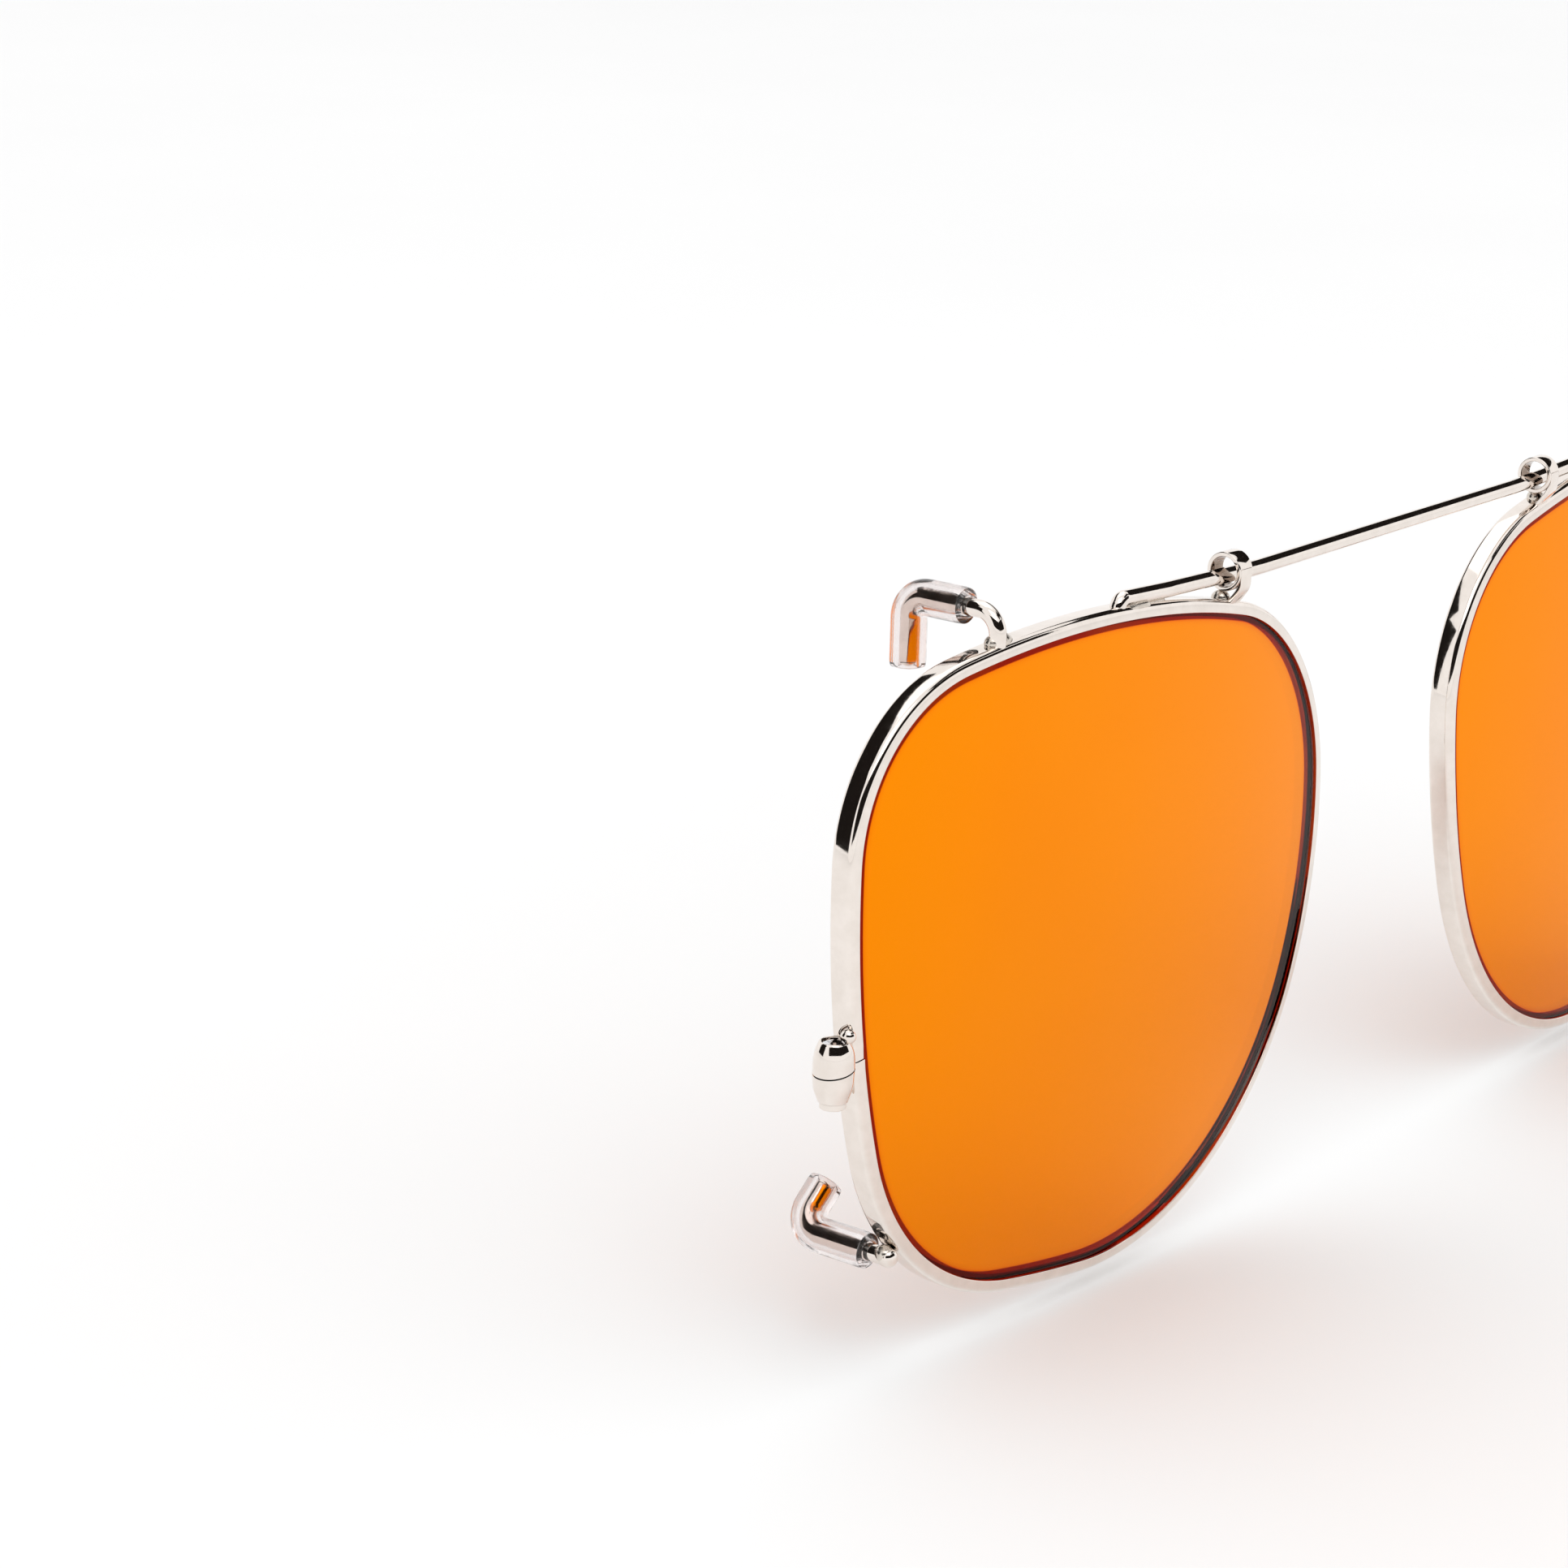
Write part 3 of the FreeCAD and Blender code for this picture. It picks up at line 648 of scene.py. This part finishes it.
UPPER_PLANE = Matrix.Translation((UPPER_U, 0, 0))
LOWER_PLANE = Matrix.Translation((LOWER_ROOT[0], 0, LOWER_ROOT[1])) @ Matrix.Rotation(LOWER_TILT, 4, "Y")


def claw_radius(along):
    """A claw's wire swells a little into its braze at the root."""
    swell, length = 0.08, 0.9
    share = max(0.0, 1 - along / length)
    return WIRE_RADIUS + swell * share * share


def make_claws():
    """Round wires that leave the rims, run back and hook over the spectacles' edge, and their sleeves."""
    upper = route([
        (0, 2.85, 22.05),
        (0, UPPER_W, UPPER_ARCH),
        (0, UPPER_REACH, UPPER_ARCH),
        (0, UPPER_REACH, UPPER_TIP),
    ], [UPPER_BEND, UPPER_BEND])
    lower = route([
        (0, 2.75, LOWER_FLOOR),
        (0, LOWER_REACH, LOWER_FLOOR),
        (0, LOWER_REACH, LOWER_TIP),
    ], [LOWER_BEND])
    upper_sleeve = route([
        (0, UPPER_SLEEVE_START, UPPER_ARCH),
        (0, UPPER_REACH, UPPER_ARCH),
        (0, UPPER_REACH, UPPER_TIP - SLEEVE_OVERHANG),
    ], [UPPER_BEND])
    lower_sleeve = route([
        (0, LOWER_SLEEVE_START, LOWER_FLOOR),
        (0, LOWER_REACH, LOWER_FLOOR),
        (0, LOWER_REACH, LOWER_TIP + SLEEVE_OVERHANG),
    ], [LOWER_BEND])
    for name, points, plane in (("upper", upper, UPPER_PLANE), ("lower", lower, LOWER_PLANE)):
        placed = [plane @ p for p in points]
        solid = wire(placed, claw_radius, domed=(name == "lower", True))
        add_both(name + "_claw", PLATE, solid)
    for name, points, plane in (("upper", upper_sleeve, UPPER_PLANE), ("lower", lower_sleeve, LOWER_PLANE)):
        placed = [plane @ p for p in points]
        solid = tube(placed, SLEEVE_RADIUS, WIRE_RADIUS + FIT)
        add_both(name + "_claw_sleeve", SILICONE, solid)


# ---------------------------------------------------------------- turned and rounded pieces

def lathe(profile, centre, seam=None):
    """Rings about the upright through centre; profile is (radius, height); seam slopes an end."""
    segments = 48
    rings = []
    for radius, height in profile:
        ring = []
        for k in range(segments):
            angle = 2 * math.pi * k / segments
            u = centre[0] + radius * math.cos(angle)
            w = centre[1] + radius * math.sin(angle)
            v = centre[2] + height
            if seam:
                v = seam(u, v)
            ring.append((u, w, v))
        rings.append(ring)
    return rings


def curve_through(points):
    """Smooth profile through a few points (Catmull-Rom), as (radius, height) pairs."""
    steps = 6
    pts = [Vector(p) for p in points]
    pts = [pts[0] * 2 - pts[1]] + pts + [pts[-1] * 2 - pts[-2]]
    made = []
    for i in range(1, len(pts) - 2):
        a, b, c, d = pts[i - 1:i + 3]
        for k in range(steps):
            t = k / steps
            made.append(0.5 * (2 * b + (c - a) * t + (2 * a - 5 * b + 4 * c - d) * t ** 2
                               + (3 * b - a - 3 * c + d) * t ** 3))
    made.append(pts[-2])
    return [tuple(p) for p in made]


def make_lock():
    """The two halves of the barrel, each ending on the sloping seam."""
    seam = SEAM_V - LOCK_TOP
    upper = [(LOCK_BORE, -0.6), (LOCK_RECESS, -0.15), (LOCK_RECESS + 0.02, -0.02), (0.86, 0.0), (0.95, 0.0)]
    upper += curve_through([(1.0, -0.05), (1.2, -0.5), (1.32, -1.1), (LOCK_RADIUS, seam)])
    lower = curve_through([(LOCK_RADIUS, seam), (1.28, -2.9), (1.12, -3.5), (0.98, -3.92)])
    lower += [(0.93, -LOCK_LENGTH), (0.86, -3.97), (0.86, -4.34), (0.80, SCREW_END), (LOCK_BORE, SCREW_END)]
    centre = (LOCK_U, LOCK_W, LOCK_TOP)

    def above(u, v):
        share = min(1.0, max(0.0, (LOCK_TOP - v) / -seam))
        return v + share * (seam_height(u) + SEAM_GAP / 2 - SEAM_V)

    def below(u, v):
        share = min(1.0, max(0.0, (v - LOCK_TOP + LOCK_LENGTH) / (LOCK_LENGTH + seam)))
        return v + share * (seam_height(u) - SEAM_GAP / 2 - SEAM_V)

    rings = lathe(upper + [(LOCK_BORE, seam)], centre, above)
    add_both("rim_lock_upper", PLATE, skin(rings[::-1], closed_along=True))
    rings = lathe([(LOCK_BORE, seam)] + lower, centre, below)
    add_both("rim_lock_lower", PLATE, skin(rings[::-1], closed_along=True))


def make_screw():
    """Countersunk head with a dished, slotted top."""
    profile = [(0.02, -0.30), (0.35, -0.24), (0.62, -0.17), (0.74, -0.15), (0.78, -0.19)]
    profile += [(0.5, -0.6), (0.5, SCREW_END + 0.02), (0.46, SCREW_END), (0.02, SCREW_END)]
    rings = lathe(profile, (LOCK_U, LOCK_W, LOCK_TOP))
    made = add_both("rim_lock_screw", STEEL, skin(rings[::-1]))
    for side, obj in made.items():
        cutter = slot_cutter(SIDES[side])
        modifier = obj.modifiers.new("slot", "BOOLEAN")
        modifier.object = cutter
        modifier.operation = "DIFFERENCE"
        modifier.solver = "EXACT"
        apply_modifiers(obj)
        bpy.data.objects.remove(cutter)


def slot_cutter(place):
    """Bar that cuts the screwdriver's slot, turned part of the way round as a tightened screw is."""
    width, depth, length, high = 0.22, 0.2, 1.8, 0.3
    head_drop = 0.15
    low = LOCK_TOP - head_drop - depth
    turn = Matrix.Translation((LOCK_U, LOCK_W, 0)) @ Matrix.Rotation(math.radians(35), 4, "Z")
    points = []
    for w in (-width / 2, width / 2):
        for u, v in ((-length / 2, low), (length / 2, low), (length / 2, high), (-length / 2, high)):
            points.append(turn @ Vector((u, w, v)))
    faces = [[0, 1, 2, 3], [7, 6, 5, 4], [0, 4, 5, 1], [1, 5, 6, 2], [2, 6, 7, 3], [3, 7, 4, 0]]
    return mesh("slot_cutter", points, faces, place)


def blob(centre, radii, wobble, turn=Matrix()):
    """Rounded drop of braze: an ellipsoid with a slow, regular unevenness."""
    segments, rows = 32, 20
    rings = []
    for i in range(1, rows):
        polar = math.pi * i / rows
        ring = []
        for k in range(segments):
            angle = 2 * math.pi * k / segments
            uneven = 1 + wobble * math.sin(2 * angle + 1.3) * math.sin(3 * polar + 0.4)
            spot = Vector((
                radii[0] * math.sin(polar) * math.cos(angle),
                radii[1] * math.sin(polar) * math.sin(angle),
                radii[2] * math.cos(polar),
            ))
            ring.append(Vector(centre) + turn @ (spot * uneven))
        rings.append(ring)
    return skin(rings[::-1])


def make_beads():
    """Braze: on the lock's top, under the eyelet, and at the roots of the claws."""
    lock_bead = blob((-26.3, 2.35, -0.05), (0.5, 0.5, 0.5), 0.02)
    add_both("rim_lock_bead", PLATE, lock_bead)
    eyelet_bead = blob((13.25, 3.0, 21.2), (0.66, 0.62, 0.6), 0.04)
    add_both("bar_eyelet_bead", BRAZE, eyelet_bead)
    upper_root = UPPER_PLANE @ Vector((0.32, 2.95, 22.56))
    upper_braze = blob(upper_root, (1.2, 0.68, 0.55), 0.06)
    add_both("upper_claw_braze", BRAZE, upper_braze)
    lower_root = LOWER_PLANE @ Vector((0, 3.1, -1.42))
    lower_braze = blob(lower_root, (0.84, 0.78, 0.64), 0.06, Matrix.Rotation(LOWER_TILT, 4, "Y"))
    add_both("lower_claw_braze", BRAZE, lower_braze)


# ---------------------------------------------------------------- bar, its feet and the eyelets

def bar_height(x):
    """Height of the bar's axis beyond its knee."""
    return BAR_HEIGHT + (BAR_END_HEIGHT - BAR_HEIGHT) * (x - BAR_KNEE_X) / (PIVOT_X - BAR_KNEE_X)


def bar_spot(x, z):
    """Point of the bar's axis in the object's frame."""
    return Vector((x, BAR_Y, z))


def bar_radius(along):
    """The bar is one thickness from end to end."""
    return BAR_RADIUS


def bar_route():
    """Right end of the bar in the object's frame: past the hinge line, then turned down at its tip."""
    foot = route([
        (5.93, FOOT_W, BAR_END_HEIGHT),
        (0.65, FOOT_W, 23.32),
        (0.45, FOOT_W, 22.5),
    ], [0.7], 0.05)
    outer = [TO_OBJECT @ p for p in foot]
    inner = [bar_spot(-BAR_SPLIT_X, bar_height(BAR_SPLIT_X)), bar_spot(-PIVOT_X, BAR_END_HEIGHT)]
    return subdivide(inner, 0.2) + outer[1:]


def make_bar():
    """The bar's middle, and at each side a skin that bends across the hinge into the foot."""
    split = bar_height(BAR_SPLIT_X)
    stops = [
        bar_spot(-BAR_SPLIT_X, split),
        bar_spot(-BAR_KNEE_X, BAR_HEIGHT),
        bar_spot(BAR_KNEE_X, BAR_HEIGHT),
        bar_spot(BAR_SPLIT_X, split),
    ]
    middle = route(stops, [60.0, 60.0], 0.3)
    bar = show("bridge_bar", PLATE, wire(middle, bar_radius, (False, False)), Matrix())
    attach(bar, "bridge")
    stand_for("bridge_bar")
    parts = wire(bar_route(), bar_radius, (False, True))
    for side, place, sign in (("right", Matrix(), -1), ("left", MIRROR, 1)):
        obj = show(f"{side}_bar_foot", PLATE, parts, place)
        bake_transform(obj)
        stand_for(f"{side}_bar_foot")


def make_foot_pad():
    """Braze between foot and rim: a thick saddle that steps down to a thin tail."""
    stations = [
        (1.1, 0.55, 22.90), (1.25, 0.66, 22.98), (2.2, 0.70, 22.99), (3.2, 0.68, 22.96), (3.42, 0.62, 22.9),
        (3.5, 0.44, 22.74), (4.5, 0.40, 22.72), (5.4, 0.34, 22.68), (5.65, 0.18, 22.6),
    ]
    bottom = 22.35
    segments = 24
    rings = []
    for u, half_width, crest in stations:
        middle = (crest + bottom) / 2
        ring = []
        for k in range(segments):
            angle = 2 * math.pi * k / segments
            across = half_width * squarish(math.cos(angle))
            raised = (crest - bottom) / 2 * squarish(math.sin(angle))
            ring.append((u, FOOT_W + across, middle + raised))
        rings.append(ring)
    made = add_both("bar_foot_pad", BRAZE, skin(rings[::-1]))
    for obj in made.values():
        polish(obj)


def squarish(value):
    """A sine or cosine pushed outwards, which makes a circle a little square."""
    return math.copysign(abs(value) ** 0.7, value)


def strap(points, width, thickness, closed):
    """Flat band along points in the (w, v) plane, with rounded edges."""
    edge_round = 0.06
    section = rounded([
        (-width / 2, -thickness / 2, edge_round),
        (width / 2, -thickness / 2, edge_round),
        (width / 2, thickness / 2, edge_round),
        (-width / 2, thickness / 2, edge_round),
    ], 4)
    rings = []
    count = len(points)
    for i, point in enumerate(points):
        ahead = points[(i + 1) % count if closed else min(i + 1, count - 1)]
        behind = points[i - 1 if closed else max(i - 1, 0)]
        tangent = (ahead - behind).normalized()
        normal = Vector((0, -tangent.z, tangent.y))
        rings.append([point + Vector((x, 0, 0)) + normal * y for x, y in section])
    return skin(rings, closed_along=closed)


def make_eyelet():
    """Strap bent round the bar, with a narrower post that runs down to the rim."""
    u, w, v = EYELET
    middle = EYELET_BORE + EYELET_STRAP / 2
    proud = 0.02
    segments = 64
    circle = []
    for k in range(segments):
        angle = 2 * math.pi * k / segments
        circle.append(Vector((u, w + middle * math.cos(angle), v + middle * math.sin(angle))))
    ring = strap(circle, EYELET_WIDTH, EYELET_STRAP, True)
    front = w - middle - proud
    post = route([(u, front, v + 0.3), (u, front, 22.1), (u, 2.55, 20.6)], [1.2])
    band = strap(post, POST_WIDTH, EYELET_STRAP + proud, False)
    add_both("bar_eyelet", PLATE, join_parts(ring, band))


# ---------------------------------------------------------------- floor, light and camera

def flat_card(name, half_x, half_y, height, material):
    """Staged flat rectangle about the local origin."""
    data = bpy.data.meshes.new(name)
    corners = [(-half_x, -half_y), (half_x, -half_y), (half_x, half_y), (-half_x, half_y)]
    data.from_pydata([(x, y, height) for x, y in corners], [], [[0, 1, 2, 3]])
    card = bpy.data.objects.new(name, data)
    bpy.context.scene.collection.objects.link(card)
    card.data.materials.append(material)
    return card


def aim_at(obj, place, target):
    """Object at place, facing the target."""
    obj.location = place
    obj.rotation_euler = (Vector(target) - Vector(place)).to_track_quat("-Z", "Y").to_euler()


def make_floor():
    """Floor just under the object."""
    drop = 0.0012
    half_size = 6.0
    flat_card("floor", half_size, half_size, cad_box[0][2] - drop, pale_floor())


def softbox(name, place, target, size, power):
    """Rectangular light facing the target."""
    light = bpy.data.lights.new(name, "AREA")
    light.shape = "RECTANGLE"
    light.size, light.size_y = size
    light.energy = power
    obj = bpy.data.objects.new(name, light)
    aim_at(obj, place, target)
    bpy.context.scene.collection.objects.link(obj)


def dark_flag(name, place, target, size):
    """Black card that only reflections and refracted rays see: it gives the metal its dark bands."""
    m = Nodes(name + "_card")
    m.roughness(3.0, 4.0, 0.01, 0.03)
    m.set(Base_Color=(0.012, 0.010, 0.009, 1), Specular_IOR_Level=0.0)
    card = flat_card(name, size[0] / 2, size[1] / 2, 0.0, m.material)
    aim_at(card, place, target)
    card.visible_camera = False
    card.visible_diffuse = False
    card.visible_shadow = False


def make_world():
    """Even white surroundings."""
    world = bpy.data.worlds.new("studio")
    world.use_nodes = True
    background = world.node_tree.nodes["Background"]
    background.inputs["Color"].default_value = (1, 1, 1, 1)
    background.inputs["Strength"].default_value = 1.05
    bpy.context.scene.world = world
    bpy.context.scene.view_settings.view_transform = "Standard"


# Lights and dark cards, in metres: name, place, the point they face, and size.  A light also has its
# power in watts.
SOFTBOXES = [
    ("key", (-0.5, -0.5, 0.9), (0, 0, 0), (0.7, 0.7), 1.6),
    ("top", (0.2, 0.3, 1.1), (0, 0, 0), (1.0, 1.0), 1.2),
]
FLAGS = [
    ("flag_back_left", (-0.5, 0.48, 0.26), (-0.05, 0, 0), (0.5, 0.5)),
    ("flag_back_high", (-0.1, 0.55, 0.6), (0, 0, 0), (1.0, 0.28)),
    ("flag_right", (0.6, -0.04, 0.41), (0, 0, 0), (0.72, 0.26)),
    ("flag_right_high", (0.32, -0.42, 0.6), (0, 0, 0), (0.5, 0.25)),
    ("flag_camera", (-0.42, -0.32, 0.23), (-0.05, 0, 0), (0.78, 0.28)),
    ("flag_front", (0.1, -0.5, 0.23), (0, 0, 0), (0.62, 0.28)),
]


def make_lights():
    """The lights, then the cards."""
    for values in SOFTBOXES:
        softbox(*values)
    for values in FLAGS:
        dark_flag(*values)


def make_camera():
    """Long lens, a little above the lenses and well to the wearer's right of their front."""
    azimuth, elevation, roll = math.radians(52.93), math.radians(15.85), math.radians(1.46)
    place = Vector((-0.27378, -0.15574, 0.09069))
    level = Vector((math.cos(azimuth), -math.sin(azimuth), 0))
    onward = Vector((math.sin(azimuth), math.cos(azimuth), 0))
    ahead = onward * math.cos(elevation) + Vector((0, 0, -math.sin(elevation)))
    up = level.cross(ahead)
    across = level * math.cos(roll) + up * math.sin(roll)
    upright = up * math.cos(roll) - level * math.sin(roll)
    data = bpy.data.cameras.new("camera")
    data.sensor_width = 36.0
    data.lens = 102.6
    data.clip_start = 0.01
    data.clip_end = 20.0
    camera = bpy.data.objects.new("camera", data)
    turn = Matrix((across, upright, -ahead)).transposed().to_4x4()
    camera.matrix_world = Matrix.Translation(place) @ turn
    bpy.context.scene.collection.objects.link(camera)
    bpy.context.scene.camera = camera


make_camera()
make_rim()
make_lens()
make_claws()
make_lock()
make_screw()
make_beads()
make_bar()
make_foot_pad()
make_eyelet()
make_world()
make_lights()
make_floor()
